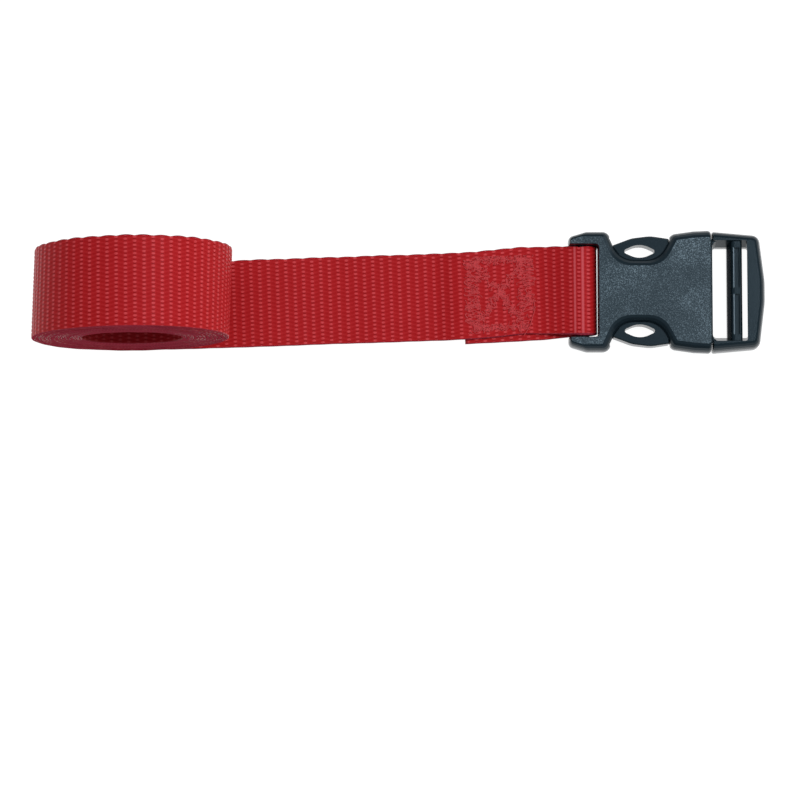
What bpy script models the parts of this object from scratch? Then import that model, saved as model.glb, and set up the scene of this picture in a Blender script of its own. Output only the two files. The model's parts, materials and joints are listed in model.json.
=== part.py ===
"""Luggage strap: a webbing wound into a roll, sewn round the bar of a side-release buckle.

The strap lies on a table. +X runs from the roll to the buckle, +Y across the webbing and
+Z up. The origin is the bottom centre of the whole object's box. Lengths below are in
millimetres, and MM turns them into Blender's metres.
"""

import math

import bmesh
import bpy
from mathutils import Matrix, Vector

MM = 0.001

# Webbing: 25 mm wide polypropylene.
WEB_WIDTH = 25.0
WEB_THICK = 1.05
LAYER_GAP = 0.30

# Roll of spare webbing, lying on its curved side.
ROLL_RADIUS = 27.1
CORE_RADIUS = 13.4
ROLL_X = -74.89
ROLL_Y = -3.7
ROLL_SIDES = 60

# Tail between the roll and the buckle: it lies on the table and runs straight to the bar.
TAIL_YAW = math.radians(2.0)
TAIL_GAP_X = 8.8  # from the roll's centre to where the tail comes clear of it
SEWN_START_X = 16.9
SEWN_END_X = 36.9
SEWN_LIFT = 0.45  # lower layer's height above the table in the sewn stretch
RAMP_LENGTH = 6.4  # the tail rises this far before the sewn end
BAR_PLAY = 0.45  # between the bar and the webbing that turns round it

# Sewing thread.
THREAD_THICK = 0.30
THREAD_LINE = 1.1
THREAD_GAP = 0.15
STITCH_WIDTH = 20.6

# Buckle, both halves closed. Its middle line is y = 0.
BAR_X = 50.7
BAR_Z = 4.0
BAR_RADIUS = 2.0
EAR_INNER_Y = 12.95
BODY_LEFT_X = 54.95
MOUTH_X = 86.93
HOUSING_HEIGHT = 9.0
HOUSING_RIM = (2.3, 4.2)  # how far the widest rims go in and down
WALL = 1.6
CHANNEL_LEFT_X = 57.4
CENTRE_BLOCK_Y = 3.6
CENTRE_END_X = 82.6
CATCH_X = 75.35
CATCH_Y = 13.2
CATCH_END_X = 79.0
CAVITY_Y = 15.2

# Male half.
FRAME_Z = (0.6, 8.4)
FRAME_RIM = (1.9, 4.4)
FRAME_FOOT = (0.6, 1.2)
FRAME_LEFT_X = 87.23
SLOT_HALF_Y = 12.9
SLOT_FLARE = 1.4  # the slots are this much wider at the top, each side
SLOT_CORNER = 1.6
FLARE_LOW_Z = 3.6
LADDER_Z = (2.4, 7.7)
LADDER_X = (91.5, 95.6)
POCKET_X = (93.4, 94.9)
POCKET_Y = (0.9, 12.3)
POCKET_FLOOR_Z = 6.6
POCKET_LIP = (0.6, 0.14)  # how far the lip beside the pockets goes out and down
END_BAR_X = 96.95
END_BAR_LEAN = 0.09  # the end bar's inner side goes back this much for each mm down
FRAME_END_X = 102.2
ARM_Z = (2.0, 7.0)
PIVOT_X = 84.2
PIVOT_Y = 11.4
KNUCKLE_RADIUS = 1.3
KNUCKLE_GAP = 0.3
BASE_X = 84.6
BASE_HALF_Y = 14.8
RAIL_TIE_X = 90.0
PRONG_HALF_Y = 1.4
PRONG_Z = (3.4, 5.6)
PRONG_TIP_X = 68.6

COLOURS = {
    "webbing": (0.375, 0.018, 0.024, 1.0),
    "thread": (0.42, 0.025, 0.032, 1.0),
    "plastic": (0.030, 0.040, 0.047, 1.0),
}


# ---------------------------------------------------------------- scene and materials


def clear_scene():
    for obj in list(bpy.data.objects):
        bpy.data.objects.remove(obj, do_unlink=True)


def material(name, colour, roughness):
    made = bpy.data.materials.new(name)
    made.use_nodes = True
    shader = made.node_tree.nodes["Principled BSDF"]
    shader.inputs["Base Color"].default_value = colour
    shader.inputs["Roughness"].default_value = roughness
    shader.inputs["Metallic"].default_value = 0.0
    return made


# ---------------------------------------------------------------- outlines


def turn(before, at, after):
    """Cross product of the two edges that meet at a corner: positive on a left turn."""
    a = Vector(at[:2]) - Vector(before[:2])
    b = Vector(after[:2]) - Vector(at[:2])
    return a.x * b.y - a.y * b.x


def moved_in(corners, inset):
    """The corners (x, y, radius, share) of a left-turning outline, with its edges moved in.

    share is how much of the inset the edge from this corner to the next one takes.
    """
    found = []
    for i, corner in enumerate(corners):
        before, after = corners[i - 1], corners[(i + 1) % len(corners)]
        p, at, q = Vector(before[:2]), Vector(corner[:2]), Vector(after[:2])
        u, v = (at - p).normalized(), (q - at).normalized()
        in_u, in_v = inset * before[3], inset * corner[3]
        # Where the two moved edges meet.
        cross = u.x * v.y - u.y * v.x
        moved = at + (v * in_u - u * in_v) / cross
        convex = turn(before, corner, after) > 0
        least = min(in_u, in_v)
        radius = corner[2] - least if convex else corner[2] + least
        found.append((moved.x, moved.y, max(radius, 0.04)))
    return found


def rounded(corners, steps=4):
    """Points of the outline, with an arc of the given radius at each corner."""
    points = []
    for i, (x, y, radius, *_) in enumerate(corners):
        at = Vector((x, y))
        back = Vector(corners[i - 1][:2]) - at
        ahead = Vector(corners[(i + 1) % len(corners)][:2]) - at
        half = back.angle(ahead) / 2
        # An arc takes less than half of either edge, so that two arcs never meet.
        reach = min(radius / math.tan(half), 0.48 * back.length, 0.48 * ahead.length)
        back.normalize()
        ahead.normalize()
        centre = at + (back + ahead).normalized() * reach / math.cos(half)
        start = at + back * reach - centre
        sweep = start.angle_signed(at + ahead * reach - centre)
        for k in range(steps + 1):
            # angle_signed is positive clockwise, so the arc turns by its negative
            turned = Matrix.Rotation(-sweep * k / steps, 2) @ start
            points.append(centre + turned)
    return points


def mirrored(half, end_share=1.0):
    """A closed left-turning outline from its +Y half, listed from the +X end to the -X end.

    end_share belongs to the edge that crosses the middle line at the +X end.
    """
    shares = [end_share] + [corner[3] for corner in half[:-1]]
    other = [(x, -y, radius, share) for (x, y, radius, _), share in zip(half, shares)]
    return half + other[::-1]


def even(corners):
    """Corners (x, y, radius) whose edges all take the whole inset."""
    return [(*corner, 1.0) for corner in corners]


# ---------------------------------------------------------------- solids


def new_object(name, mesh_maker, finish):
    mesh = bpy.data.meshes.new(name)
    shape = bmesh.new()
    mesh_maker(shape)
    bmesh.ops.recalc_face_normals(shape, faces=shape.faces)
    shape.to_mesh(mesh)
    shape.free()
    mesh.materials.append(finish)
    obj = bpy.data.objects.new(name, mesh)
    bpy.context.scene.collection.objects.link(obj)
    return obj


def loft(name, layers, finish):
    """A solid through layers of equal point counts. Each layer is a list of 3-D points in mm."""

    def make(shape):
        rings = [[shape.verts.new(Vector(p) * MM) for p in layer] for layer in layers]
        count = len(rings[0])
        for low, high in zip(rings, rings[1:]):
            for i in range(count):
                j = (i + 1) % count
                shape.faces.new((low[i], low[j], high[j], high[i]))
        shape.faces.new(rings[0][::-1])
        shape.faces.new(rings[-1])

    return new_object(name, make, finish)


def slab(name, corners, z_range, finish, edge=None, foot=None, edge_steps=2, corner_steps=4):
    """The outline as a slab with rounded rims.

    edge is how far, in mm, the upper rim goes in and down. foot is the lower rim's, and is like
    the upper one's unless it is given.
    """
    low, high = z_range
    sides = [(0.0, low), (0.0, high)]
    if edge:
        curve = [k * math.pi / 2 / edge_steps for k in range(edge_steps + 1)]
        in_low, up_low = foot or edge
        in_high, up_high = edge
        lower = [(in_low * (1 - math.sin(a)), low + up_low * (1 - math.cos(a))) for a in curve]
        upper = [(in_high * (1 - math.sin(a)), high - up_high * (1 - math.cos(a))) for a in curve]
        sides = lower + upper[::-1]
    layers = []
    for inset, z in sides:
        outline = rounded(moved_in(corners, inset), corner_steps)
        layers.append([(p.x, p.y, z) for p in outline])
    return loft(name, layers, finish)


def block(name, low, high, finish):
    """A plain box between two corners."""
    corners = [
        (high[0], low[1]),
        (high[0], high[1]),
        (low[0], high[1]),
        (low[0], low[1]),
    ]
    return loft(name, [[(x, y, z) for x, y in corners] for z in (low[2], high[2])], finish)


def strip(name, path, finish):
    """Webbing along a path of (x, z) points, its thickness across the path and its width along Y."""
    upper, lower = [], []
    for i, point in enumerate(path):
        before, after = path[max(i - 1, 0)], path[min(i + 1, len(path) - 1)]
        along = (Vector(after) - Vector(before)).normalized()
        normal = Vector((-along.y, along.x)) * WEB_THICK / 2
        upper.append(Vector(point) + normal)
        lower.append(Vector(point) - normal)
    outline = lower + upper[::-1]
    layers = [[(p.x, y, p.y) for p in outline] for y in (-WEB_WIDTH / 2, WEB_WIDTH / 2)]
    return loft(name, layers, finish)


def combine(obj, tool, operation):
    """Adds the tool to the object or cuts it out, and hides the tool."""
    tool.hide_render = True
    tool.display_type = "WIRE"
    modifier = obj.modifiers.new(tool.name, "BOOLEAN")
    modifier.object = tool
    modifier.operation = operation
    modifier.solver = "EXACT"


def smooth(obj, degrees=35):
    obj.data.shade_smooth()
    obj.data.set_sharp_from_angle(angle=math.radians(degrees))


def set_origin(obj, x, y, z):
    """Moves the object's origin to a point in mm and leaves its shape where it is."""
    at = Vector((x, y, z)) * MM
    obj.data.transform(Matrix.Translation(-at))
    obj.location = at


def turn_about_bar(obj):
    """Turns the object's shape by the tail's yaw about the middle of the bar."""
    bar = Vector((BAR_X, 0.0, 0.0)) * MM
    yaw = Matrix.Rotation(TAIL_YAW, 4, "Z")
    obj.data.transform(Matrix.Translation(bar) @ yaw @ Matrix.Translation(-bar))


# ---------------------------------------------------------------- webbing


def webbing_roll(finish):
    """The wound turns as one turned ring, with the open core that the winding leaves."""
    profile = [
        (CORE_RADIUS, -WEB_WIDTH / 2),
        (ROLL_RADIUS, -WEB_WIDTH / 2),
        (ROLL_RADIUS, WEB_WIDTH / 2),
        (CORE_RADIUS, WEB_WIDTH / 2),
    ]

    def make(shape):
        rings = []
        for k in range(ROLL_SIDES):
            # The bottom of the ring is a corner, so that it rests at its full radius.
            angle = 2 * math.pi * k / ROLL_SIDES - math.pi / 2
            ring = []
            for radius, along in profile:
                place = (radius * math.cos(angle), along, radius * math.sin(angle))
                ring.append(shape.verts.new(Vector(place) * MM))
            rings.append(ring)
        for k, ring in enumerate(rings):
            after = rings[(k + 1) % ROLL_SIDES]
            for i in range(4):
                j = (i + 1) % 4
                shape.faces.new((ring[i], ring[j], after[j], after[i]))

    obj = new_object("webbing_roll", make, finish)
    obj.location = Vector((ROLL_X, ROLL_Y, ROLL_RADIUS)) * MM
    smooth(obj)
    return obj


def eased(start, end, share):
    """A smooth step between two heights."""
    return start + (end - start) * share * share * (3 - 2 * share)


def webbing_tail(finish):
    """Single layer from the roll, rising onto the folded-back end, as far as the sewn end."""
    flat_z = WEB_THICK / 2
    sewn_z = SEWN_LIFT + WEB_THICK + LAYER_GAP + WEB_THICK / 2
    ramp_end = SEWN_START_X - 1.6
    ramp = (ramp_end - RAMP_LENGTH, ramp_end)
    path = [(ROLL_X + TAIL_GAP_X, flat_z)]
    for k in range(7):
        x = ramp[0] + (ramp[1] - ramp[0]) * k / 6
        path.append((x, eased(flat_z, sewn_z, k / 6)))
    path.append((SEWN_END_X, sewn_z))
    obj = strip("webbing_tail", path, finish)
    turn_about_bar(obj)
    return obj


def webbing_loop(finish):
    """Folded-back end under the tail, its turn round the bar and the way back to the sewn end."""
    radius = BAR_RADIUS + BAR_PLAY + WEB_THICK / 2
    low_z = SEWN_LIFT + WEB_THICK / 2
    high_z = low_z + LAYER_GAP + WEB_THICK
    lower_x, upper_x = SEWN_END_X + 3.0, SEWN_END_X + 1.1
    leave = math.radians(112)  # where the upper layer leaves the bar
    path = [(SEWN_START_X, low_z), (lower_x, low_z)]
    for k in range(1, 5):
        share = k / 5
        x = lower_x + (BAR_X - lower_x) * share
        path.append((x, eased(low_z, BAR_Z - radius, share)))
    for k in range(13):
        angle = -math.pi / 2 + (leave + math.pi / 2) * k / 12
        x = BAR_X + radius * math.cos(angle)
        path.append((x, BAR_Z + radius * math.sin(angle)))
    top_x, top_z = path[-1]
    slope = math.tan(leave - math.pi / 2)
    for k in range(1, 8):
        share = k / 8
        x = top_x + (upper_x - top_x) * share
        fall = slope * (top_x - upper_x)
        # cubic from the bar's slope to level
        z = (
            top_z * (1 + 2 * share) * (1 - share) ** 2
            - fall * share * (1 - share) ** 2
            + high_z * share * share * (3 - 2 * share)
        )
        path.append((x, z))
    path.append((upper_x, high_z))
    path.append((upper_x - 0.3, high_z))
    obj = strip("webbing_loop", path, finish)
    turn_about_bar(obj)
    smooth(obj)
    return obj


def stitching(name, z_low, finish):
    """Box-and-cross seam: a thread border with two diagonals, as one flat lattice."""
    long_x = SEWN_END_X - SEWN_START_X - 1.6
    middle_x = (SEWN_START_X + SEWN_END_X) / 2
    half = Vector((long_x / 2, STITCH_WIDTH / 2))
    border = [(half.x, -half.y), (half.x, half.y), (-half.x, half.y), (-half.x, -half.y)]
    z_high = z_low + THREAD_THICK
    plate = loft(name, [[(x, y, z) for x, y in border] for z in (z_low, z_high)], finish)
    inner = half - Vector((THREAD_LINE, THREAD_LINE))
    # Each opening is a triangle between the border and the two diagonals.
    reach = THREAD_LINE / 2 * math.hypot(inner.x, inner.y)
    in_x, in_y = reach / inner.y, reach / inner.x
    openings = (
        [(inner.x, inner.y - in_y), (inner.x, in_y - inner.y), (in_x, 0.0)],
        [(in_x - inner.x, inner.y), (inner.x - in_x, inner.y), (0.0, in_y)],
        [(-inner.x, in_y - inner.y), (-inner.x, inner.y - in_y), (-in_x, 0.0)],
        [(inner.x - in_x, -inner.y), (in_x - inner.x, -inner.y), (0.0, -in_y)],
    )
    for number, triangle in enumerate(openings):
        layers = [[(x, y, z) for x, y in triangle] for z in (z_low - 1, z_high + 1)]
        combine(plate, loft(f"{name}_opening_{number}", layers, finish), "DIFFERENCE")
    # The seam follows the tail, which points at the middle of the bar.
    for obj in [plate] + [modifier.object for modifier in plate.modifiers]:
        obj.data.transform(Matrix.Translation(Vector((middle_x, 0.0, 0.0)) * MM))
        turn_about_bar(obj)
    return plate


# ---------------------------------------------------------------- female half


def female_outline():
    """Ears round the bar at the left, a waist between the arm windows, a wide mouth.

    The last number is the share of the rim's rounding that the edge to the next corner takes:
    the edges round the webbing's slot and the mouth's end are nearly square.
    """
    half = [
        (MOUTH_X, 17.45, 0.9, 1.0),
        (82.0, 17.25, 6.0, 1.0),
        (75.7, 16.35, 2.2, 1.0),
        (71.9, 9.3, 7.0, 1.0),
        (61.4, 9.3, 7.0, 1.0),
        (57.8, 17.05, 2.2, 0.75),
        (51.8, 17.05, 4.0, 0.55),
        (46.7, 15.5, 2.2, 0.3),
        (46.7, EAR_INNER_Y, 0.5, 0.15),
        (BODY_LEFT_X, EAR_INNER_Y, 0.8, 0.15),
    ]
    return mirrored(half, end_share=0.12)


def female_housing(finish):
    body = slab(
        "female_housing",
        female_outline(),
        (0.0, HOUSING_HEIGHT),
        finish,
        edge=HOUSING_RIM,
        edge_steps=5,
        corner_steps=6,
    )
    bar = loft("fixed_bar", bar_sections(), finish)
    combine(body, bar, "UNION")
    cavity = loft("arm_channels", cavity_layers(), finish)
    combine(body, cavity, "DIFFERENCE")
    guide = block("guide_channel", (67.0, -1.9, 3.1), (CENTRE_END_X + 1.0, 1.9, 5.9), finish)
    combine(body, guide, "DIFFERENCE")
    smooth(body)
    set_origin(body, BAR_X, 0.0, BAR_Z)
    return body


def cavity_layers():
    """The mouth and, left of it, a channel for each arm on either side of a solid centre.

    Each channel narrows between the mouth and the arm's window: that step is the catch.
    """
    half = [
        (MOUTH_X + 1.0, CAVITY_Y),
        (CATCH_END_X, CAVITY_Y),
        (CATCH_END_X, CATCH_Y),
        (CATCH_X, CATCH_Y),
        (CATCH_X, CAVITY_Y + 0.9),
        (CHANNEL_LEFT_X + 1.2, CAVITY_Y + 0.9),
        (CHANNEL_LEFT_X, CAVITY_Y - 1.8),
        (CHANNEL_LEFT_X, CENTRE_BLOCK_Y),
        (CENTRE_END_X, CENTRE_BLOCK_Y),
    ]
    outline = half + [(x, -y) for x, y in reversed(half)]
    return [[(x, y, z) for x, y in outline] for z in (WALL, HOUSING_HEIGHT - WALL)]


def bar_sections():
    """The round bar, reaching a little into both ears."""
    sections = []
    for y in (-EAR_INNER_Y - 1.5, EAR_INNER_Y + 1.5):
        ring = []
        for k in range(16):
            angle = 2 * math.pi * k / 16
            x = BAR_X + BAR_RADIUS * math.cos(angle)
            ring.append((x, y, BAR_Z + BAR_RADIUS * math.sin(angle)))
        sections.append(ring)
    return sections


# ---------------------------------------------------------------- male half


def male_frame(finish):
    """Frame with the webbing slots, the ladder bar, the base in the mouth and the guide prong."""
    half = [
        (FRAME_END_X, 3.0, 20.0, 0.9),
        (100.6, 16.0, 2.4, 1.0),
        (FRAME_LEFT_X, 17.2, 0.6, 0.15),
    ]
    outline = mirrored(half, end_share=0.9)
    frame = slab(
        "male_frame",
        outline,
        FRAME_Z,
        finish,
        edge=FRAME_RIM,
        foot=FRAME_FOOT,
        edge_steps=5,
        corner_steps=6,
    )
    combine(frame, slot_window(finish), "DIFFERENCE")
    combine(frame, ladder_bar(finish), "UNION")
    for name, side in (("left", 1), ("right", -1)):
        combine(frame, slot_corner(f"{name}_slot_corner", side, finish), "UNION")
        combine(frame, ladder_pocket(f"{name}_ladder_pocket", side, finish), "DIFFERENCE")
    combine(frame, male_base(finish), "UNION")
    for name, side in (("left", 1), ("right", -1)):
        radius = KNUCKLE_RADIUS + KNUCKLE_GAP
        combine(frame, knuckle_disc(f"{name}_notch", side, radius, (1.0, 8.0), finish), "DIFFERENCE")
    smooth(frame)
    set_origin(frame, FRAME_LEFT_X, 0.0, sum(FRAME_Z) / 2)
    return frame


def slot_half_y(z):
    """Half the slots' length at the height z: their ends lean out at the top."""
    slope = SLOT_FLARE / (FRAME_Z[1] - FLARE_LOW_Z)
    return SLOT_HALF_Y + slope * max(z - FLARE_LOW_Z, 0.0)


def slot_window(finish):
    """Cutter of the opening that the ladder bar parts."""
    layers = []
    for z in (FRAME_Z[0] - 1.0, FLARE_LOW_Z, FRAME_Z[1] + 1.0):
        half_y = slot_half_y(z)
        right = END_BAR_X + END_BAR_LEAN * (FRAME_Z[1] - z)
        window = even([(right, half_y, 0.6), (FRAME_LEFT_X - 1.5, half_y, 0.4)])
        layers.append([(p.x, p.y, z) for p in rounded(mirrored(window), 3)])
    return loft("slot_window", layers, finish)


def slot_corner(name, side, finish):
    """Round corner between the wide slot's end and its side at the base."""
    left = FRAME_LEFT_X + 0.02
    layers = []
    for z in (1.4, FLARE_LOW_Z, 7.6):
        wall = slot_half_y(z) + 0.05
        corner = [(left + SLOT_CORNER, SLOT_HALF_Y + SLOT_FLARE + 0.6)]
        for k in range(5):
            angle = math.pi / 2 * k / 4
            x = left + SLOT_CORNER * (1 - math.sin(angle))
            corner.append((x, wall - SLOT_CORNER * (1 - math.cos(angle))))
        corner.append((left, SLOT_HALF_Y + SLOT_FLARE + 0.6))
        turned = corner[::-1] if side > 0 else [(x, -y) for x, y in corner]
        layers.append([(x, y, z) for x, y in turned])
    return loft(name, layers, finish)


def ladder_bar(finish):
    """Bar that the webbing turns over: steep towards the buckle, flat on top."""
    left, right = LADDER_X
    low, high = LADDER_Z
    profile = [
        (left, low),
        (right - 0.6, low),
        (right, low + 0.6),
        (right, high - 0.5),
        (right - 0.5, high),
        (left + 2.0, high),
        (left + 1.55, high - 0.07),
        (left + 1.2, high - 0.3),
        (left + 0.95, high - 0.7),
        (left, 4.6),
    ]
    reach = SLOT_HALF_Y + SLOT_FLARE + 0.2
    layers = [[(x, y, z) for x, z in profile] for y in (-reach, reach)]
    return loft("ladder_bar", layers, finish)


def ladder_pocket(name, side, finish):
    """Cutter of one of the bar's pockets, with a shallow lip along its left side."""
    left, right = POCKET_X
    lip_out, lip_down = POCKET_LIP
    top, over = LADDER_Z[1], LADDER_Z[1] + 1.0
    profile = [
        (left, POCKET_FLOOR_Z),
        (right, POCKET_FLOOR_Z),
        (right, over),
        (left - lip_out, over),
        (left - lip_out, top + 0.02),
        (left, top - lip_down),
    ]
    layers = [[(x, y, z) for x, z in profile] for y in sorted(side * y for y in POCKET_Y)]
    return loft(name, layers, finish)


def male_base(finish):
    """Cross member in the mouth, tied into the frame's rails, with the prong in its middle."""
    right_x = FRAME_LEFT_X + 0.05
    tie_y = SLOT_HALF_Y + SLOT_FLARE * 0.8
    half = [(right_x, tie_y), (RAIL_TIE_X, tie_y), (RAIL_TIE_X, BASE_HALF_Y), (BASE_X, BASE_HALF_Y)]
    outline = half + [(x, -y) for x, y in reversed(half)]
    base = loft("male_base", [[(x, y, z) for x, y in outline] for z in ARM_Z], finish)
    prong_half = [(BASE_X + 0.4, PRONG_HALF_Y), (PRONG_TIP_X + 1.4, PRONG_HALF_Y)]
    prong_half.append((PRONG_TIP_X, PRONG_HALF_Y / 2))
    prong = prong_half + [(x, -y) for x, y in reversed(prong_half)]
    tongue = loft("guide_prong", [[(x, y, z) for x, y in prong] for z in PRONG_Z], finish)
    combine(base, tongue, "UNION")
    return base


def knuckle_disc(name, side, radius, z_range, finish):
    ring = []
    for k in range(20):
        angle = 2 * math.pi * k / 20
        ring.append((PIVOT_X + radius * math.cos(angle), PIVOT_Y * side + radius * math.sin(angle)))
    return loft(name, [[(x, y, z) for x, y in ring] for z in z_range], finish)


def on_side(corners, side):
    """Left-turning corners for the arm on that side, from those of the +Y one."""
    placed = [(x, y * side, radius) for x, y, radius in corners]
    return even(placed if side > 0 else placed[::-1])


def release_arm(name, side, finish):
    """Flexing arm: a beam from the base to a leaf-shaped push pad with an eye through it."""
    leaf = [
        (PIVOT_X, PIVOT_Y - KNUCKLE_RADIUS, 0.1),
        (PIVOT_X, PIVOT_Y + KNUCKLE_RADIUS, 0.1),
        (75.05, 12.75, 0.3),
        (75.05, 14.9, 0.4),
        (69.8, 15.7, 9.0),
        (64.5, 15.05, 9.0),
        (58.8, 12.9, 0.5),
        (61.8, 8.9, 2.6),
        (67.0, 8.0, 5.0),
        (72.6, 8.9, 4.0),
        (76.0, 10.3, 4.0),
    ]
    eye = [
        (71.9, 11.3, 0.7),
        (66.8, 13.7, 6.0),
        (61.5, 11.3, 0.7),
        (66.8, 8.9, 6.0),
    ]
    arm = slab(
        name, on_side(leaf, side), ARM_Z, finish, edge=(0.35, 0.35), edge_steps=1, corner_steps=3
    )
    hole = slab(f"{name}_eye", on_side(eye, side), (0.0, 9.0), finish, corner_steps=6)
    combine(arm, hole, "DIFFERENCE")
    combine(arm, knuckle_disc(f"{name}_knuckle", side, KNUCKLE_RADIUS, ARM_Z, finish), "UNION")
    smooth(arm)
    set_origin(arm, PIVOT_X, PIVOT_Y * side, sum(ARM_Z) / 2)
    return arm


# ---------------------------------------------------------------- assembly


def build():
    clear_scene()
    webbing = material("webbing", COLOURS["webbing"], 0.75)
    thread = material("thread", COLOURS["thread"], 0.6)
    plastic = material("plastic", COLOURS["plastic"], 0.45)
    webbing_roll(webbing)
    webbing_tail(webbing)
    webbing_loop(webbing)
    top = SEWN_LIFT + 2 * WEB_THICK + LAYER_GAP
    stitching("seam_thread_upper", top + THREAD_GAP, thread)
    stitching("seam_thread_lower", SEWN_LIFT - THREAD_GAP - THREAD_THICK, thread)
    female_housing(plastic)
    male_frame(plastic)
    release_arm("left_release_arm", 1, plastic)
    release_arm("right_release_arm", -1, plastic)


build()
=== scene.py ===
"""Looks of the luggage strap: ribbed red webbing in a roll, its sewn fold and a black buckle.

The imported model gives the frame. The webbing is one continuous band, from its inner end in the
roll to the cut end that is sewn back under the fold. Lengths are in millimetres, and MM turns
them into Blender's metres.
"""

import json
import math

import bpy
import numpy as np
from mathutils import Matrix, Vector


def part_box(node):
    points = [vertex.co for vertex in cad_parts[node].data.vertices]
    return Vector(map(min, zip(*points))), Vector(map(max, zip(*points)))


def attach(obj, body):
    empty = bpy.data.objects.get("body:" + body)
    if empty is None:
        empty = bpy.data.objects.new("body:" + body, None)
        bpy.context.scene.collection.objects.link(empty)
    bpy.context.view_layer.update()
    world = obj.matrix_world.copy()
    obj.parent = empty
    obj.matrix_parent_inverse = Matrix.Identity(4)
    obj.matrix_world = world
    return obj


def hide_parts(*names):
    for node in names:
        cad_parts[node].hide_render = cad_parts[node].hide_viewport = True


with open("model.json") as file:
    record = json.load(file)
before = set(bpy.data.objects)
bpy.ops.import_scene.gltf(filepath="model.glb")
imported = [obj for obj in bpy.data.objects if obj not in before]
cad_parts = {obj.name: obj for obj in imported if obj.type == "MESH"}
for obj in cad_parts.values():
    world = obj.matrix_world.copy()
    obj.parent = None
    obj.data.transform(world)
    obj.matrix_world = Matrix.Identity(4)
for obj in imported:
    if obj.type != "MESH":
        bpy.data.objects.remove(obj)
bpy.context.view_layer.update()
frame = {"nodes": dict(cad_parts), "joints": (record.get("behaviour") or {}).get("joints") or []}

MM = 0.001

# ---------------------------------------------------------------- places from the frame


def box_mm(node):
    low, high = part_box(node)
    return np.array(low) / MM, np.array(high) / MM


def joint_mm(name):
    found = next(j for j in frame["joints"] if j["name"] == name)
    return np.array(found["pos_m"]) / MM


ROLL_LOW, ROLL_HIGH = box_mm("webbing_roll")
BAR = joint_mm("buckle_swivel")
ROLL_CENTRE = (ROLL_LOW + ROLL_HIGH) / 2
ROLL_RADIUS = (ROLL_HIGH[2] - ROLL_LOW[2]) / 2

# ---------------------------------------------------------------- sizes

WIDTH = 24.85  # the band's width
CORE = 0.74  # thickness between the hollows of the weave
THICK = 1.03  # thickness over the weave
RIB = 2.47  # from one column of warp dots to the next
YARNS = 22
YARN = WIDTH / YARNS
RISE = 0.09  # how far a yarn climbs over a weft thread and dives under the next one
CROWN = 0.11  # how round a yarn's back is
YARN_REACH = 0.46  # half a yarn's width as a share of YARN
FACE_HALF = WIDTH / 2 - 0.12  # the woven faces end here, and the rounded edges begin
EDGE_CORD = 0.158  # height of the selvedge's cord over the core
CORD_RIPPLE = 0.012
CORD_PITCH = 0.95
SCALLOP = 0.20  # how far the weft's loops stand out of the far edge

BORE_RADIUS = 13.4  # of the open core
OUTER_RADIUS = 1.027 * ROLL_RADIUS  # where the band leaves the roll; each turn is wound smaller
TURNS = 12.55
FOOT = int(TURNS * 240)  # the route reaches the roll's foot after this many steps
TAIL_STEP = 0.25
BORE_RISE = 0.18  # the innermost turn's lower half is flatter by this share
ROLL_AXIS = ROLL_CENTRE[:2] + (0.2, 0.0)
ROLL_YAW = math.radians(0.7)  # the roll and the tail both lie a little askew
ROLL_SHEAR = math.radians(-2.5)  # the turns are pushed aside, so their ends lean
WOBBLE = 0.10  # each turn lies up to this much off the one below it
TAIL_YAW = math.radians(2.0)
BAR_SHEAR = math.radians(-1.8)  # the weft at the bar leans like this
RETURN_YAW = math.radians(3.1)  # the folded-back end lies a little askew under the tail

HUMP_HEIGHT = 1.3  # the tail arches this high off the table between these x
HUMP_X = (-67.0, -15.0)
TAIL_RIPPLE = 0.12
# The band isn't quite straight: its middle lies this far to the side of its line at these x.
SIDE_X = (-75.0, -60.0, -47.0, -20.0, 0.0, 8.0, 14.0, 21.0, 27.0, 34.0, 41.0, 50.7)
SIDE = (1.0, 0.62, 0.41, 0.63, 0.60, 0.56, 0.42, 0.55, 0.90, 1.50, 1.10, 0.32)
RETURN_SIDE = -0.10
DOTS_X = -45.2  # a column of warp dots lies here, which sets the ribs' phase
RIDGE_X = (48.7, 50.7)  # two lines that the bar has pressed into the band
RIDGE_HEIGHT = 0.10
RIDGE_HALF = 0.28  # half of a line's width
BAR_SPREAD = 0.50  # the band is this much wider to the near side at the bar

SEWN_X = (16.9, 36.9)  # the folded-back end lies under the tail here
CLIMB_X = (SEWN_X[0] - 8.5, SEWN_X[0] - 0.3)  # and the tail climbs onto it here
UNDER_Z = 0.975  # middle of the folded-back layer
OVER_Z = UNDER_Z + 1.08  # middle of the upper layer where it is sewn
BAR_RADIUS = 2.0
BAR_GAP = 0.50  # the bend is this loose on the bar
BAR_BULGE = 0.60  # and at its right it stands off by this much more
LEAVE_BAR = math.radians(112)  # the angle round the bar where the tail meets the bend
BEND_RADIUS = BAR_RADIUS + BAR_GAP + THICK / 2
BEND_TOP_X = BAR[0] + BEND_RADIUS * math.cos(LEAVE_BAR)
BEND_TOP_Z = BAR[2] + BEND_RADIUS * math.sin(LEAVE_BAR)

SEAM_X = (SEWN_X[0] + 2.9, SEWN_X[1] - 1.9)  # the sewn box's ends
SEAM_HALF = 9.7  # half of its width
THREAD_RADIUS = 0.11
STITCH_PITCH = 0.85
FUZZ_PER_ROW = 60
FUZZ_RADIUS = 0.08
FUZZ_STEP = 0.42


# ---------------------------------------------------------------- route of the webbing


def smooth_step(low, high, x):
    share = np.clip((np.asarray(x, float) - low) / (high - low), 0.0, 1.0)
    return share * share * (3 - 2 * share)


def line_point(pivot, along, yaw, side, z):
    """The point that lies this far along the line from a pivot, and this far to its side."""
    x = pivot[0] + along * math.cos(yaw) - side * math.sin(yaw)
    y = pivot[1] + along * math.sin(yaw) + side * math.cos(yaw)
    return x, y, z


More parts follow.
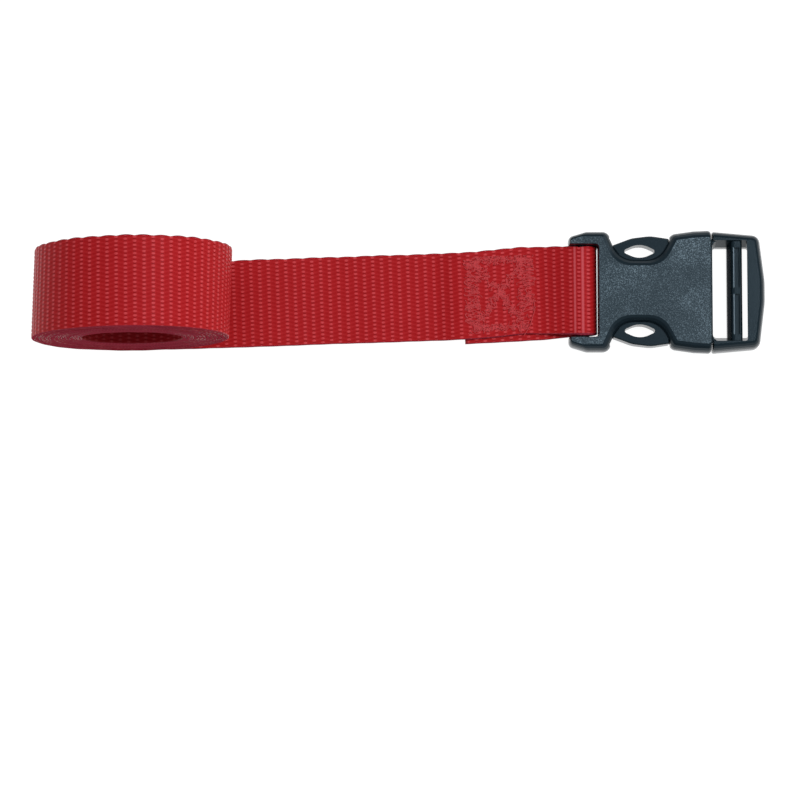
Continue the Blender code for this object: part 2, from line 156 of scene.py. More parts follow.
def wound_turns():
    """The roll, from its inner end out to its foot. Gives points and the yaw of the width."""
    # The tail's line passes a little to the side of the roll's centre.
    foot_side = BAR[1] - (BAR[0] - ROLL_AXIS[0]) * math.tan(TAIL_YAW) - ROLL_AXIS[1] + SIDE[0]
    pitch = (OUTER_RADIUS - THICK - BORE_RADIUS) / TURNS
    squash = ROLL_RADIUS / OUTER_RADIUS  # the lower half settles a little on the table
    for k in range(FOOT):
        to_foot = 2 * math.pi * TURNS * (1 - k / FOOT)
        radius = OUTER_RADIUS - THICK / 2 - pitch * to_foot / (2 * math.pi)
        x, z = -radius * math.sin(to_foot), -radius * math.cos(to_foot)
        if z < 0:
            # The inner turns sag least, so the bore is a little flat below.
            inner = (OUTER_RADIUS - radius) / (OUTER_RADIUS - BORE_RADIUS)
            z *= squash * (1 - BORE_RISE * inner)
        near_foot = 1 - float(smooth_step(0, math.radians(110), to_foot))
        yaw = ROLL_YAW + (TAIL_YAW - ROLL_YAW) * near_foot
        point = line_point(ROLL_AXIS, x, yaw, foot_side * near_foot, ROLL_RADIUS + z)
        yield point, yaw + ROLL_SHEAR * (1 - near_foot)


def tail_height(x):
    """Height of the tail's middle: on the table, over the folded-back end, then to the bar."""
    if x > SEWN_X[1]:
        slope = math.tan(LEAVE_BAR - math.pi / 2)
        share = (BEND_TOP_X - x) / (BEND_TOP_X - SEWN_X[1])
        return (
            BEND_TOP_Z * (1 + 2 * share) * (1 - share) ** 2
            - slope * (BEND_TOP_X - SEWN_X[1]) * share * (1 - share) ** 2
            + OVER_Z * share * share * (3 - 2 * share)
        )
    z = THICK / 2
    if HUMP_X[0] < x < HUMP_X[1]:
        share = (x - HUMP_X[0]) / (HUMP_X[1] - HUMP_X[0])
        z += HUMP_HEIGHT * math.sin(math.pi * share**0.85) ** 2
    z += TAIL_RIPPLE * math.sin(x / 9.0) ** 2 * float(smooth_step(-14, -6, x))
    z += (OVER_Z - THICK / 2) * float(smooth_step(*CLIMB_X, x))
    return z


def tail():
    """From the roll's foot to the bend. Gives points and the yaw of the width."""
    for x in np.arange(ROLL_AXIS[0] + TAIL_STEP, BEND_TOP_X, TAIL_STEP):
        side = float(np.interp(x, SIDE_X, SIDE))
        near_bar = float(smooth_step(SEWN_X[1], BAR[0], x))
        point = line_point(BAR, x - BAR[0], TAIL_YAW, side, tail_height(x))
        yield point, TAIL_YAW + BAR_SHEAR * near_bar


def fold():
    """Round the bar and back under the tail. Gives points and the yaw of the width."""
    for angle in np.linspace(LEAVE_BAR, -math.pi / 2, 60):
        away = BEND_RADIUS * math.cos(angle) + BAR_BULGE * max(math.cos(angle), 0.0)
        z = BAR[2] + BEND_RADIUS * math.sin(angle)
        yield line_point(BAR, away, TAIL_YAW, SIDE[-1], z), TAIL_YAW + BAR_SHEAR
    low_z = BAR[2] - BEND_RADIUS
    for x in np.arange(BAR[0] - TAIL_STEP, SEWN_X[0], -TAIL_STEP):
        z = low_z + (UNDER_Z - low_z) * float(smooth_step(BAR[0], BAR[0] - 9.0, x))
        back = float(smooth_step(BAR[0], BAR[0] - 12.0, x))
        yaw = TAIL_YAW + (RETURN_YAW - TAIL_YAW) * back
        side = SIDE[-1] + (RETURN_SIDE - SIDE[-1]) * back
        yield line_point(BAR, x - BAR[0], yaw, side, z), yaw + BAR_SHEAR * (1 - back)


def route():
    """The band's middle line: its points, and at each of them the yaw of its width."""
    rows = [*wound_turns(), *tail(), *fold()]
    points = np.array([point for point, _ in rows])
    # Kinks between the places in SIDE are rounded off.
    reach = 6
    first, last = FOOT + 8, int(np.argmax(points[:, 0])) - 40
    y = points[first - reach : last + reach, 1]
    kernel = np.ones(2 * reach + 1) / (2 * reach + 1)
    points[first:last, 1] = np.convolve(y, kernel, "valid")
    return points, np.array([yaw for _, yaw in rows])


ROUTE, ROUTE_YAW = route()
ROUTE_STEPS = np.linalg.norm(np.diff(ROUTE, axis=0), axis=1)
ROUTE_S = np.concatenate([[0.0], np.cumsum(ROUTE_STEPS)])
FOOT_S = float(ROUTE_S[FOOT])
LENGTH = float(ROUTE_S[-1])


def on_route(s):
    """Points of the middle line at each length s."""
    return np.stack([np.interp(s, ROUTE_S, ROUTE[:, k]) for k in range(3)], axis=-1)


def frames(s):
    """Middle, width direction and outward normal of the band at each length s."""
    middle = on_route(s)
    ahead, behind = on_route(np.minimum(s + 0.4, LENGTH)), on_route(np.maximum(s - 0.4, 0.0))
    along = ahead - behind
    along /= np.linalg.norm(along, axis=1, keepdims=True)
    yaw = np.interp(s, ROUTE_S, ROUTE_YAW)
    across = np.stack([-np.sin(yaw), np.cos(yaw), np.zeros_like(yaw)], axis=-1)
    # The roll's band is square to its line. The tail's weft keeps its own direction.
    square = 1 - smooth_step(FOOT_S, FOOT_S + 20.0, s)[:, None]
    across -= along * (across * along).sum(axis=1, keepdims=True) * square
    across /= np.linalg.norm(across, axis=1, keepdims=True)
    outward = np.cross(across, along)
    return middle, across, outward / np.linalg.norm(outward, axis=1, keepdims=True)


def length_at(x):
    """Length along the band where the tail passes x."""
    bend = int(np.argmax(ROUTE[:, 0]))
    return float(np.interp(x, ROUTE[FOOT:bend, 0], ROUTE_S[FOOT:bend]))


RIB_S = length_at(DOTS_X)
RIDGE_S = [length_at(x) for x in RIDGE_X]


# ---------------------------------------------------------------- weave


def weave_height(s, v):
    """Height of the woven surface over the core, in mm, at length s and place v across.

    Every other yarn is up at the even ribs, and the yarns between them at the odd ribs.
    """
    rise = RISE * np.cos(np.pi * (s - RIB_S) / RIB)
    even = v / YARN - np.round(v / YARN)
    odd = v / YARN + 0.5 - np.round(v / YARN + 0.5)
    height = np.maximum(
        rise - CROWN * (even / YARN_REACH) ** 2, -rise - CROWN * (odd / YARN_REACH) ** 2
    )
    height = height + CROWN
    for ridge in RIDGE_S:
        height = height + RIDGE_HEIGHT * np.exp(-(((s - ridge) / RIDGE_HALF) ** 2))
    edge = smooth_step(WIDTH / 2 - 1.0, WIDTH / 2 - 0.5, np.abs(v))
    cord = EDGE_CORD + CORD_RIPPLE * np.cos(2 * np.pi * (s / CORD_PITCH + np.abs(v) / 0.9))
    rounding = 0.10 * smooth_step(WIDTH / 2 - 0.5, WIDTH / 2, np.abs(v))
    return height * (1 - edge) + cord * edge - rounding


def edge_shift(s):
    """How far the far and the near edge stand out. The weft's loops show on the far one only."""
    on_roll = 1 - smooth_step(FOOT_S - 40, FOOT_S, s)
    wave = np.abs(np.cos(np.pi * (s - RIB_S) / RIB / 2)) - 0.6
    far = SCALLOP * (1 + 0.6 * on_roll) * wave + 0.05 * np.sin(s * 0.37)
    near = 0.02 * np.sin(s * 0.9) + 0.03 * np.sin(s * 0.21)
    near = near + BAR_SPREAD * np.exp(-(((s - RIDGE_S[1]) / 5.0) ** 2))
    return far, near


FINE_V = np.linspace(-FACE_HALF, FACE_HALF, 6 * YARNS + 1)
COARSE_V = np.array([-FACE_HALF, -6.0, 0.0, 6.0, FACE_HALF])
EDGE = [(0.62, WIDTH / 2 - 0.03), (0.0, WIDTH / 2 + 0.04), (-0.62, WIDTH / 2 - 0.03)]
RIB_SAMPLES = np.array([-0.36, -0.18, 0.0, 0.18, 0.36, 0.5])


def fine_lengths(start, end):
    """Lengths at which a woven face is cut across, closest together at the dots."""
    first, last = math.floor((start - RIB_S) / RIB) - 1, math.ceil((end - RIB_S) / RIB) + 1
    ribs = np.arange(first, last + 1)
    s = (RIB_S + RIB * (ribs[:, None] + RIB_SAMPLES[None, :])).ravel()
    return s[(s > start) & (s < end)]


def outline(s, outer_v, inner_v):
    """The band's outline at each length s: places across it, and heights over its middle."""
    upper = [(v, CORE / 2 + weave_height(s, v)) for v in outer_v]
    far_edge = [(v, np.full_like(s, up * CORE / 2)) for up, v in EDGE]
    lower = [(v, -CORE / 2 - weave_height(s, v)) for v in reversed(inner_v)]
    near_edge = [(-v, np.full_like(s, up * CORE / 2)) for up, v in reversed(EDGE)]
    sides = upper + far_edge + lower + near_edge
    far, near = edge_shift(s)
    across = [v + (far if v > 0 else near) * v / (WIDTH / 2) for v, _ in sides]
    return np.stack(across, axis=1), np.stack([h for _, h in sides], axis=1)


def webbing_rings():
    """Rings of points round the band. Each is (length, points, across, outer and inner count).

    Only the faces that can be seen are finely woven: those of the bore, the outermost turn and
    the tail.
    """
    bore_end = 2 * math.pi * (BORE_RADIUS + 1.5) * 1.02
    outer_start = FOOT_S - 2 * math.pi * OUTER_RADIUS * 1.03
    zones = [
        (np.array([0.0, 0.3]), COARSE_V, FINE_V),
        (fine_lengths(0.35, bore_end), COARSE_V, FINE_V),
        (np.arange(bore_end + 0.4, outer_start - 0.3, 0.85), COARSE_V, COARSE_V),
        (fine_lengths(outer_start, FOOT_S), FINE_V, COARSE_V),
        (fine_lengths(FOOT_S, LENGTH - 0.4), FINE_V, FINE_V),
        (np.array([LENGTH - 0.3, LENGTH]), FINE_V, FINE_V),
    ]
    rings = []
    for lengths, outer_v, inner_v in zones:
        middle, weft, normal = frames(lengths)
        across, height = outline(lengths, outer_v, inner_v)
        on_roll = 1 - smooth_step(FOOT_S - 60.0, FOOT_S, lengths)
        wobble = WOBBLE * np.sin(lengths * 0.061) * on_roll
        points = (
            middle[:, None, :]
            + weft[:, None, :] * (across + wobble[:, None])[:, :, None]
            + normal[:, None, :] * height[:, :, None]
        )
        counts = (len(outer_v), len(inner_v))
        rings.extend((s, points[k], across[k], *counts) for k, s in enumerate(lengths))
    return rings


def ring_strips(first, outer, inner):
    """The vertex numbers of a ring's four sides, which share their corners."""
    count = outer + inner + 6
    number = [first + k for k in range(count)] + [first]
    corners = (0, outer - 1, outer + 3, outer + 3 + inner - 1, count)
    return [number[a : b + 1] for a, b in zip(corners, corners[1:])]


def bridge(near, far, faces):
    """Faces between two open strips of vertices, which may differ in count."""
    if len(near) == len(far):
        for k in range(len(near) - 1):
            faces.append((near[k], near[k + 1], far[k + 1], far[k]))
        return
    flipped = len(near) > len(far)
    few, many = (far, near) if flipped else (near, far)
    share = (len(many) - 1) / (len(few) - 1)
    for k in range(len(few) - 1):
        a, b = round(k * share), round((k + 1) * share)
        polygon = [few[k], few[k + 1]] + many[a : b + 1][::-1]
        faces.append(tuple(polygon[::-1] if flipped else polygon))


def mesh_object(name, points, faces, finish):
    """A smooth mesh from points in millimetres."""
    mesh = bpy.data.meshes.new(name)
    mesh.from_pydata([tuple(p) for p in np.asarray(points) * MM], [], faces)
    mesh.materials.append(finish)
    mesh.shade_smooth()
    obj = bpy.data.objects.new(name, mesh)
    bpy.context.scene.collection.objects.link(obj)
    return obj


def webbing(finish, edge_finish):
    """The whole band as one closed mesh, with each vertex's place along and across it."""
    points, strand, faces, strips = [], [], [], []
    for s, ring, across, outer, inner in webbing_rings():
        strips.append(ring_strips(len(points), outer, inner))
        points.extend(ring)
        strand.extend((s, v, 0.0) for v in across)
    for near, far in zip(strips, strips[1:]):
        for a, b in zip(near, far):
            bridge(a, b, faces)
    first_end, last_start = strips[1][0][0], strips[-1][0][0]
    faces.append(tuple(range(first_end)))
    faces.append(tuple(range(len(points) - 1, last_start - 1, -1)))
    obj = mesh_object("strap_webbing", points, faces, finish)
    obj.data.materials.append(edge_finish)
    out = np.abs([v for _, v, _ in strand])
    on_edge = [int(out[list(face[:4])].min() > FACE_HALF - 0.01) for face in faces]
    obj.data.polygons.foreach_set("material_index", on_edge)
    attribute = obj.data.attributes.new("strand", "FLOAT_VECTOR", "POINT")
    attribute.data.foreach_set("vector", np.array(strand, np.float32).ravel())
    return obj


# ---------------------------------------------------------------- sewing thread


def tube(path, radius, sides):
    """Points and faces of a thread along a path, with its ends half as thick."""
    path = np.asarray(path, float)
    along = np.gradient(path, axis=0)
    along /= np.linalg.norm(along, axis=1, keepdims=True)
    up = np.array([0.0, 0.0, 1.0])
    side = np.cross(along, up)
    side /= np.maximum(np.linalg.norm(side, axis=1, keepdims=True), 1e-6)
    lift = np.cross(side, along)
    points, faces = [], []
    for k, p in enumerate(path):
        size = radius * (0.5 if k in (0, len(path) - 1) else 1.0)
        for i in range(sides):
            a = 2 * math.pi * i / sides
            points.append(p + size * (math.cos(a) * side[k] + math.sin(a) * lift[k]))
    for k in range(len(path) - 1):
        for i in range(sides):
            j = (i + 1) % sides
            a, b = k * sides, (k + 1) * sides
            faces.append((a + i, b + i, b + j, a + j))
    faces.append(tuple(range(sides)))
    faces.append(tuple(range(len(points) - 1, len(points) - 1 - sides, -1)))
    return points, faces


def eased_path(corners, steps):
    """A smooth curve through the corners."""
    corners = np.asarray(corners, float)
    padded = np.vstack([2 * corners[0] - corners[1], corners, 2 * corners[-1] - corners[-2]])
    points = []
    for a, b, c, d in zip(padded, padded[1:], padded[2:], padded[3:]):
        for k in range(steps):
            t = k / steps
            points.append(
                0.5
                * (
                    2 * b
                    + (c - a) * t
                    + (2 * a - 5 * b + 4 * c - d) * t * t
                    + (3 * b - a - 3 * c + d) * t**3
                )
            )
    points.append(corners[-1])
    return np.array(points)


def stitch_row(start, end, reach, rng):
    """Corners of one worn zigzag row between two places (x, y): uneven, with odd curls."""
    along = end - start
    length = np.linalg.norm(along)
    along /= length
    side = np.array([-along[1], along[0]])
    count = int(length / STITCH_PITCH * 2)
    corners = []
    for k in range(count + 1):
        away = reach / 2 * (1 if k % 2 else -1) * rng.uniform(0.05, 1.1)
        jitter = rng.uniform(-1.1, 1.1) * STITCH_PITCH
        spot = start + along * min(max(length * k / count + jitter, 0.0), length) + side * away
        corners.append(spot)
        corners.append(spot + rng.uniform(-0.7, 0.7, 2))
        if rng.random() < 0.7:
            corners.append(spot + rng.uniform(-1.0, 1.0, 2))
    return corners


def on_surface(path, height, rng):
    """The flat path laid on the cloth, with the small ups and downs of a worn thread."""
    phase = rng.uniform(0, 2 * math.pi, 2)
    k = np.arange(len(path))
    lift = 0.05 * np.sin(k * 0.9 + phase[0]) + 0.04 * np.sin(k * 0.37 + phase[1])
    return np.column_stack([path, height(path[:, 0]) + lift])


TAIL_ALONG = np.array([math.cos(TAIL_YAW), math.sin(TAIL_YAW)])
TAIL_ACROSS = np.array([-TAIL_ALONG[1], TAIL_ALONG[0]])


def seam_rows(aside):
    """The box and its cross, as (start, end, reach). aside is the box's place off the line."""

    def corner(x, y):
        return BAR[:2] + (x - BAR[0]) * TAIL_ALONG + (y + aside) * TAIL_ACROSS

    left, right = SEAM_X
    low, high = -SEAM_HALF, SEAM_HALF
    return [
        (corner(left, low), corner(left, high), 4.4),
        (corner(right, high), corner(right, low + 4.0), 4.4),
        (corner(left, high), corner(right, low), 2.2),
        (corner(left, low), corner(right, high), 2.2),
        (corner(left, high), corner(right, high), 1.3),
        (corner(left, low), corner(right, low), 1.3),
    ]


def on_cloth(corners, aside):
    """The corners, with those beside the sewn cloth drawn back onto it."""
    flat = np.array(corners) - BAR[:2]
    x = np.clip(flat @ TAIL_ALONG, SEWN_X[0] + 0.7 - BAR[0], SEWN_X[1] + 3.0 - BAR[0])
    y = np.clip(flat @ TAIL_ACROSS, aside - SEAM_HALF - 1.5, aside + SEAM_HALF + 1.0)
    return BAR[:2] + x[:, None] * TAIL_ALONG + y[:, None] * TAIL_ACROSS


def curl(start, end, reach, rng):
    """Corners of a loose fibre that curls somewhere beside a row."""
    bend = [start + (end - start) * rng.random() + rng.uniform(-0.5, 0.5, 2) * reach]
    heading = rng.uniform(0, 2 * math.pi)
    for _ in range(4):
        heading += rng.normal(0.6, 0.7)
        bend.append(bend[-1] + FUZZ_STEP * np.array([math.cos(heading), math.sin(heading)]))
    return bend


def seam(name, height, aside, finish, seed):
    """Box and cross of worn stitches through both layers, with loose fibres about them."""
    rng = np.random.default_rng(seed)
    points, faces = [], []

    def lay(corners, steps, radius):
        path = on_surface(eased_path(on_cloth(corners, aside), steps), height, rng)
        more_points, more_faces = tube(path, radius, 5)
        first = len(points)
        points.extend(more_points)
        faces.extend(tuple(first + i for i in face) for face in more_faces)

    for start, end, reach in seam_rows(aside):
        lay(stitch_row(start, end, reach, rng), 4, THREAD_RADIUS)
        for _ in range(FUZZ_PER_ROW):
            lay(curl(start, end, reach, rng), 3, FUZZ_RADIUS)
    return mesh_object(name, points, faces, finish)


def surface_height(side):
    """Height of a thread's middle on the sewn stretch's upper or lower face, over places x."""
    order = np.argsort(ROUTE[:, 0])
    upper = order[(order > FOOT) & (ROUTE[order, 2] > UNDER_Z + 0.5)]
    half = CORE / 2 + RISE + CROWN

    def height(x):
        if side > 0:
            return np.interp(x, ROUTE[upper, 0], ROUTE[upper, 2]) + half + THREAD_RADIUS * 0.4
        return np.full_like(x, UNDER_Z - half - THREAD_RADIUS * 0.9)

    return height


def loose_end(height, finish):
    """A cut end of the needle thread that lies in a curve on the fold."""
    corners = [(36.8, -1.6), (37.3, -4.4), (36.7, -6.8), (35.9, -9.4), (34.2, -12.2)]
    path = eased_path(corners, 8)
    rise = 0.22 + 0.25 * np.sin(np.linspace(0.0, math.pi, len(path))) ** 2
    path = np.column_stack([path, height(path[:, 0]) + rise])
    points, faces = tube(path, THREAD_RADIUS * 0.9, 6)
    return mesh_object("loose_thread_end", points, faces, finish)


# ---------------------------------------------------------------- materials


class Graph:
    """A short way to write a material's nodes."""

    def __init__(self, name):
        self.material = bpy.data.materials.new(name)
        self.material.use_nodes = True
        self.tree = self.material.node_tree
        self.shader = self.tree.nodes["Principled BSDF"]

    def put(self, value, socket):
        if isinstance(value, (int, float)):
            socket.default_value = value
        elif isinstance(value, tuple):
            socket.default_value = value if len(value) == 4 else (*value, 1.0)
        else:
            self.tree.links.new(value, socket)

    def math(self, operation, *values):
        node = self.tree.nodes.new("ShaderNodeMath")
        node.operation = operation
        for value, socket in zip(values, node.inputs):
            self.put(value, socket)
        return node.outputs[0]

    def span(self, value, low, high, to_low=0.0, to_high=1.0):
        """Maps low..high smoothly to to_low..to_high."""
        node = self.tree.nodes.new("ShaderNodeMapRange")
        node.interpolation_type = "SMOOTHSTEP"
        for number, socket in zip((value, low, high, to_low, to_high), node.inputs):
            self.put(number, socket)
        return node.outputs[0]

    def mix(self, factor, a, b):
        node = self.tree.nodes.new("ShaderNodeMix")
        node.data_type = "RGBA"
        self.put(factor, node.inputs["Factor"])
        self.put(a, node.inputs[6])
        self.put(b, node.inputs[7])
        return node.outputs[2]

    def noise(self, vector, scale, detail=2.0, roughness=0.5):
        node = self.tree.nodes.new("ShaderNodeTexNoise")
        self.put(vector, node.inputs["Vector"])
        node.inputs["Scale"].default_value = scale
        node.inputs["Detail"].default_value = detail
        node.inputs["Roughness"].default_value = roughness
        return node.outputs["Fac"]

    def stretch(self, vector, scale):
        node = self.tree.nodes.new("ShaderNodeMapping")
        self.put(vector, node.inputs["Vector"])
        node.inputs["Scale"].default_value = scale
        return node.outputs["Vector"]

    def attribute(self, name):
        node = self.tree.nodes.new("ShaderNodeAttribute")
        node.attribute_name = name
        return node.outputs["Vector"]

    def position(self):
        return self.tree.nodes.new("ShaderNodeTexCoord").outputs["Object"]

    def normal(self):
        return self.tree.nodes.new("ShaderNodeTexCoord").outputs["Normal"]

    def split(self, vector):
        node = self.tree.nodes.new("ShaderNodeSeparateXYZ")
        self.put(vector, node.inputs[0])
        return node.outputs

    def bump(self, height, strength, distance):
        node = self.tree.nodes.new("ShaderNodeBump")
        node.inputs["Strength"].default_value = strength
        node.inputs["Distance"].default_value = distance
        self.put(height, node.inputs["Height"])
        self.tree.links.new(node.outputs["Normal"], self.shader.inputs["Normal"])

    def set(self, **values):
        for name, value in values.items():
            self.put(value, self.shader.inputs[name.replace("_", " ")])


def weave_masks(g, s, v):
    """The surface's weave again: its ribs, warp dots, pits and the yarns between the ribs."""
    ribs = g.math("DIVIDE", g.math("SUBTRACT", s, RIB_S), RIB)
    column = g.math("ROUND", ribs)
    from_rib = g.math("ABSOLUTE", g.math("SUBTRACT", ribs, column))
    row = g.math("DIVIDE", v, YARN)
    stagger = g.math("MULTIPLY", g.math("FLOORED_MODULO", column, 2.0), 0.5)
    staggered = g.math("ADD", row, stagger)
    from_dot = g.math("ABSOLUTE", g.math("SUBTRACT", staggered, g.math("ROUND", staggered)))
    across = g.math("POWER", g.math("DIVIDE", from_dot, 0.31), 2.0)
    along = g.math("POWER", g.math("DIVIDE", from_rib, 0.22), 2.0)
    dot = g.span(g.math("ADD", across, along), 1.25, 0.30)
    pit = g.math("MULTIPLY", g.span(from_rib, 0.24, 0.12), g.span(from_dot, 0.27, 0.42))
    # Between the ribs the yarns' edges run slantwise from one dot to the next.
    slant = g.math("MULTIPLY", g.math("PINGPONG", ribs, 1.0), 0.5)
    yarn = g.math("COSINE", g.math("MULTIPLY", g.math("SUBTRACT", row, slant), 2 * math.pi))
    return g.span(from_rib, 0.36, 0.10), dot, pit, yarn, g.span(from_rib, 0.16, 0.30)


def webbing_material():
    """Red polyester: lighter dots on the ribs as painted highlights, dark pits beside them and a
    dark selvedge as painted shade.
    """
    g = Graph("webbing_red")
    strand = g.attribute("strand")
    s, v, _ = g.split(strand)
    rib, dot, pit, yarn, between = weave_masks(g, s, v)
    fibre = g.noise(g.stretch(strand, (0.9, 8.0, 1.0)), 1.0, 3.0, 0.6)
    patch = g.noise(g.stretch(strand, (0.10, 0.16, 1.0)), 1.0, 2.0)
    speck = g.noise(g.stretch(strand, (1.7, 2.1, 1.0)), 1.0, 1.0)
    base = g.mix(patch, (0.335, 0.0060, 0.0070), (0.400, 0.0095, 0.0110))
    # Painted highlight: the ribs' columns are lightened.
    base = g.mix(g.math("MULTIPLY", rib, 0.45), base, (0.48, 0.020, 0.025))
    base = g.mix(g.span(fibre, 0.35, 0.75, 0.0, 0.25), base, (0.46, 0.022, 0.025))
    # Painted highlight on the yarns' backs between the ribs, and painted shade in the grooves
    # beside them.
    painted_highlight = g.math("MULTIPLY", between, g.span(yarn, 0.1, 0.95, 0.0, 0.13))
    base = g.mix(painted_highlight, base, (0.60, 0.048, 0.055))
    dark = g.math("MULTIPLY", between, g.span(yarn, -0.1, -0.95, 0.0, 0.10))
    base = g.mix(dark, base, (0.19, 0.0020, 0.0025))
    # Painted shade in the pits beside the dots.
    base = g.mix(g.math("MULTIPLY", pit, 0.60), base, (0.190, 0.0010, 0.0015))
    # Painted highlight: the warp dots' crowns are lightened.
    crown_highlight = g.math("MULTIPLY", dot, g.span(speck, 0.25, 0.7, 0.45, 0.90))
    base = g.mix(crown_highlight, base, (0.60, 0.066, 0.072))
    # Painted shade: the innermost turn, deep in the bore, is darkened.
    bore = g.span(s, 2 * math.pi * BORE_RADIUS * 1.2, 2 * math.pi * BORE_RADIUS, 0.0, 0.55)
    base = g.mix(bore, base, (0.10, 0.0010, 0.0030))
    # Painted highlight along the two lines that the bar has pressed into the band.
    for ridge in RIDGE_S:
        near = g.span(g.math("ABSOLUTE", g.math("SUBTRACT", s, ridge)), 0.5, 0.1)
        base = g.mix(g.math("MULTIPLY", near, 0.45), base, (0.72, 0.15, 0.17))
    # Painted shade, tinted purple as a painted sheen, along the band's edges.
    edge = g.span(g.math("ABSOLUTE", v), WIDTH / 2 - 0.30, WIDTH / 2 - 0.02)
    base = g.mix(g.math("MULTIPLY", edge, 0.80), base, (0.155, 0.0130, 0.0260))
    sealed = g.span(s, LENGTH - 1.1, LENGTH - 0.4)
    base = g.mix(g.math("MULTIPLY", sealed, 0.8), base, (0.16, 0.008, 0.010))
    g.set(Base_Color=base, Roughness=g.span(rib, 0.0, 1.0, 0.58, 0.34))
    g.set(Specular_IOR_Level=0.07, Specular_Tint=(1.0, 0.70, 0.80, 1.0))
    g.bump(fibre, 0.35, 0.00008)
    return g.material


def edge_material():
    """The matt selvedge: the wound turns' ends and the band's thin sides, coloured as painted shade
    and sheen.
    """
    g = Graph("webbing_edge_red")
    s, _, _ = g.split(g.attribute("strand"))
    cord = g.math("SINE", g.math("MULTIPLY", s, 2 * math.pi / CORD_PITCH))
    ripple = g.span(cord, -1.0, 1.0, 0.0, 0.6)
    # Painted shade and sheen: these sides are coloured darker and more purple than the woven faces.
    base = g.mix(ripple, (0.235, 0.0200, 0.0350), (0.320, 0.0380, 0.0580))
    g.set(Base_Color=base, Roughness=0.9, Specular_IOR_Level=0.0)
    return g.material


def thread_material():
    """Fluffy red thread, lighter than the webbing."""
    g = Graph("thread_red")
    place = g.position()
    fibre = g.noise(g.stretch(place, (2600.0, 2600.0, 2600.0)), 1.0, 3.0, 0.6)
    colour = g.mix(fibre, (0.44, 0.026, 0.030), (0.66, 0.080, 0.087))
    g.set(Base_Color=colour, Roughness=0.6, Sheen_Weight=0.05, Sheen_Roughness=0.4)
    g.set(Sheen_Tint=(0.95, 0.6, 0.6, 1.0), Specular_IOR_Level=0.15)
    g.bump(fibre, 0.5, 0.0001)
    return g.material


def plastic_material(name, speckle):
    """Black moulded plastic. speckle is the share of the spark-eroded grain on its flats, which
    carries painted glints.
    """
    g = Graph(name)
    place = g.position()
    grain = g.noise(place, 3600.0, 0.0)
    fine = g.noise(place, 5200.0, 1.0)
    patch = g.noise(place, 75.0, 2.0)
    coarse = g.noise(place, 700.0, 2.0)
    _, _, up = g.split(g.normal())
    flat = g.span(up, 0.97, 0.995)
    marked = g.math("MULTIPLY", flat, speckle)
    # Painted glints: pale bluish specks on the grain's peaks, on the flats only, stronger in
    # patches.
    spark = g.math("ADD", g.span(grain, 0.52, 0.74, 0.0, 0.75), g.span(fine, 0.40, 0.62, 0.0, 0.40))
    painted_highlight = g.math("MULTIPLY", spark, g.span(patch, 0.35, 0.65, 0.40, 1.0))
    colour = g.mix(coarse, (0.0040, 0.0085, 0.0115), (0.0065, 0.0120, 0.0160))
    colour = g.mix(g.math("MULTIPLY", painted_highlight, marked), colour, (0.150, 0.198, 0.226))
    g.set(Base_Color=colour)
    g.set(Roughness=g.math("ADD", 0.20, g.math("MULTIPLY", marked, 0.20)))
    g.set(Specular_IOR_Level=0.25, Specular_Tint=(0.64, 0.86, 1.0, 1.0))
    g.bump(g.math("MULTIPLY", grain, marked), 0.30, 0.00012)
    return g.material


# ---------------------------------------------------------------- stage


def camera():
    """Looks down on the strap from almost straight above, from a good metre away."""
    elevation, distance = 83.49, 1.1306
    aim = Vector((-0.0008, -0.0301, 0.0))
    data = bpy.data.cameras.new("camera")
    data.lens = 180.0
    data.sensor_width = 36.0
    data.clip_start, data.clip_end = 0.05, 10.0
    obj = bpy.data.objects.new("camera", data)
    tilt = math.radians(90.0 - elevation)
    obj.location = aim + distance * Vector((0.0, -math.sin(tilt), math.cos(tilt)))
    obj.rotation_euler = (tilt, 0.0, 0.0)
    bpy.context.scene.collection.objects.link(obj)
    bpy.context.scene.camera = obj


def key_light():
    """A soft box high up on the right, a little behind the strap."""
    place, aim = Vector((0.50, 0.16, 0.93)), Vector((-0.03, 0.0, 0.02))
    data = bpy.data.lights.new("key", "AREA")
    data.shape = "RECTANGLE"
    data.size, data.size_y = 0.24, 0.50
    data.energy = 6.5
    data.color = (1.0, 0.97, 0.99)
    obj = bpy.data.objects.new("key", data)
    obj.location = place
    obj.rotation_euler = (aim - place).to_track_quat("-Z", "Y").to_euler()
    bpy.context.scene.collection.objects.link(obj)


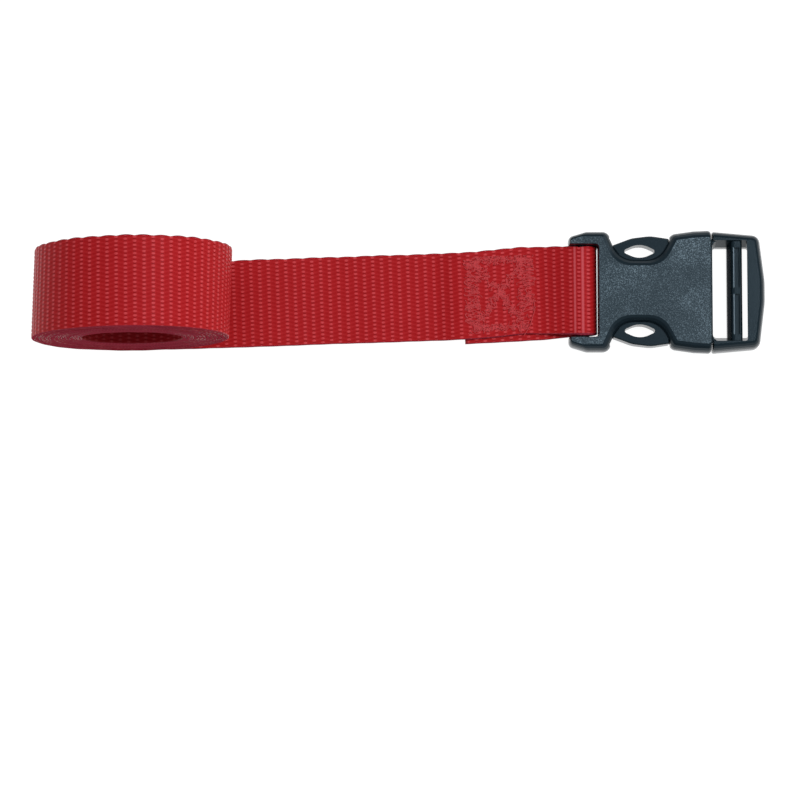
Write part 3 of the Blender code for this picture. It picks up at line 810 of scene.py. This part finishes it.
def floor():
    """A white floor that glows, so that it stays white all over and still takes a shadow."""
    g = Graph("floor_white")
    g.set(Base_Color=(0.16, 0.16, 0.16), Roughness=0.9, Specular_IOR_Level=0.0)
    g.set(Emission_Color=(1.0, 1.0, 1.0), Emission_Strength=0.97)
    # A low rim far out carries the floor's white up to what a level view shows of it.
    size, rim = 4.0, 0.5
    corners = [(-size, -size), (size, -size), (size, size), (-size, size)]
    points = [(x, y, z) for z in (-0.0002, rim) for x, y in corners]
    faces = [(0, 1, 2, 3)] + [(i, i + 4, (i + 1) % 4 + 4, (i + 1) % 4) for i in range(4)]
    mesh = bpy.data.meshes.new("floor")
    mesh.from_pydata(points, [], faces)
    mesh.materials.append(g.material)
    obj = bpy.data.objects.new("floor", mesh)
    bpy.context.scene.collection.objects.link(obj)


def studio():
    """A world that is dark below and pale blue above, and plain colours in the picture."""
    world = bpy.data.worlds.new("studio")
    world.use_nodes = True
    tree = world.node_tree
    background = tree.nodes["Background"]
    coordinates = tree.nodes.new("ShaderNodeTexCoord")
    split = tree.nodes.new("ShaderNodeSeparateXYZ")
    tree.links.new(coordinates.outputs["Generated"], split.inputs[0])
    ramp = tree.nodes.new("ShaderNodeValToRGB")
    ramp.color_ramp.elements[0].position = 0.0
    ramp.color_ramp.elements[0].color = (0.030, 0.034, 0.038, 1.0)
    ramp.color_ramp.elements[1].position = 1.0
    ramp.color_ramp.elements[1].color = (0.66, 0.75, 0.81, 1.0)
    tree.links.new(split.outputs[2], ramp.inputs[0])
    tree.links.new(ramp.outputs[0], background.inputs[0])
    background.inputs[1].default_value = 1.0
    bpy.context.scene.world = world
    settings = bpy.context.scene.view_settings
    settings.view_transform = "Standard"
    settings.look = "None"


# ---------------------------------------------------------------- assembly


def build():
    camera()
    studio()
    key_light()
    floor()

    cloth = webbing(webbing_material(), edge_material())
    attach(cloth, "strap")
    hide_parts("webbing_roll", "webbing_tail", "webbing_loop")

    thread = thread_material()
    upper = seam("seam_stitches_upper", surface_height(1), 0.7, thread, 11)
    lower = seam("seam_stitches_lower", surface_height(-1), -0.5, thread, 23)
    loose = loose_end(surface_height(1), thread)
    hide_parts("seam_thread_upper")
    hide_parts("seam_thread_lower")
    for piece in (upper, lower, loose):
        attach(piece, "strap")

    grained = plastic_material("buckle_grained_black", 1.0)
    plain = plastic_material("buckle_smooth_black", 0.0)
    for node in ("female_housing", "male_frame", "left_release_arm", "right_release_arm"):
        obj = frame["nodes"][node]
        obj.data.materials.clear()
        obj.data.materials.append(grained if node == "female_housing" else plain)


build()
